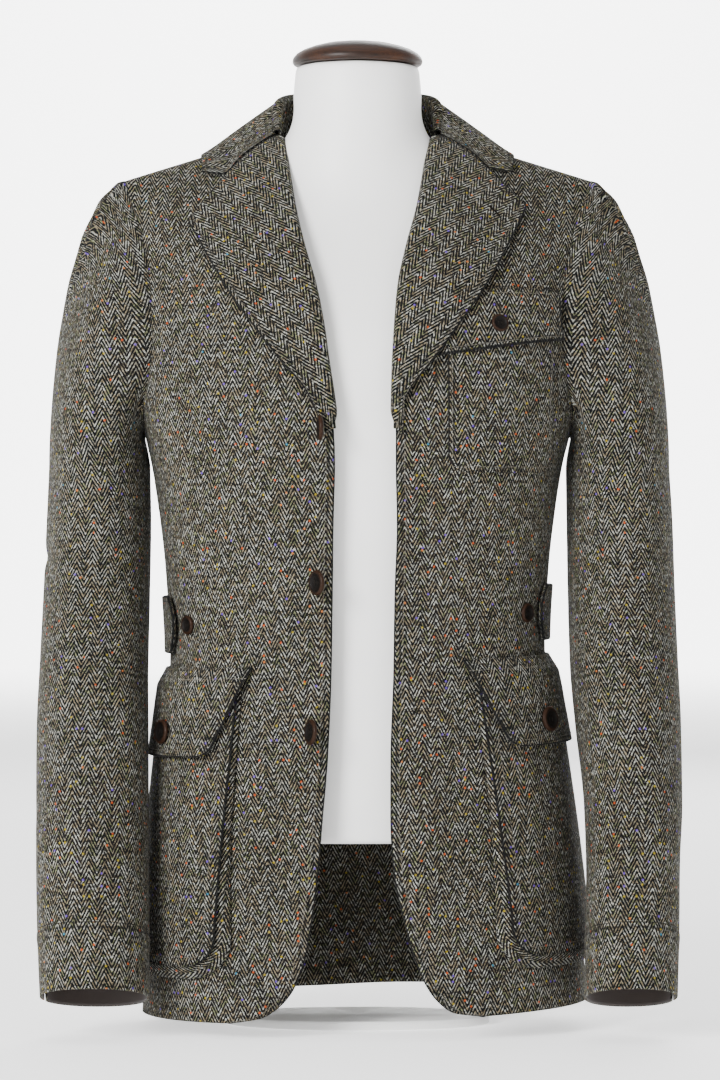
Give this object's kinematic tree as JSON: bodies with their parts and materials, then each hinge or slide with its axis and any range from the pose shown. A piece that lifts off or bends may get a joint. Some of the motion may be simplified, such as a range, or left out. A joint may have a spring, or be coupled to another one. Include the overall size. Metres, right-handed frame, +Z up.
{
  "type": "safari jacket on dress form",
  "caption": "Tweed safari jacket hanging open, with notched lapels, bellows pockets under flaps and a half belt, on a limbless dress form.",
  "frame": {"origin": "centre of the stand's underside, on the floor", "axes": "+Z up, the garment's front faces -Y, +X is the wearer's left"},
  "size_m": [0.5585, 0.2957, 0.8632],
  "materials": {
    "tweed": "herringbone tweed, matt and slightly hairy",
    "horn": "dark brown horn, satin with polished rims",
    "form_cover": "off-white smooth cover",
    "cap_wood": "dark brown varnished wood",
    "stand_paint": "white satin paint"
  },
  "bodies": {
    "root": {"back": "tweed", "back_belt": "tweed", "belt_button_left": "horn", "belt_button_right": "horn", "chest_button": "horn", "chest_flap": "tweed", "chest_pocket": "tweed", "collar": "tweed", "cuff_left": "tweed", "cuff_right": "tweed", "flap_button_left": "horn", "flap_button_right": "horn", "flap_left": "tweed", "flap_right": "tweed", "form_base": "stand_paint", "form_cap": "cap_wood", "form_leg_left": "stand_paint", "form_leg_right": "stand_paint", "form_torso": "form_cover", "front_button_bottom": "horn", "front_button_middle": "horn", "front_button_top": "horn", "front_left": "tweed", "front_right": "tweed", "gusset_left": "tweed", "gusset_right": "tweed", "lapel_left": "tweed", "lapel_right": "tweed", "pocket_left": "tweed", "pocket_right": "tweed", "sleeve_left_top": "tweed", "sleeve_left_under": "tweed", "sleeve_right_top": "tweed", "sleeve_right_under": "tweed"}
  },
  "joints": []
}
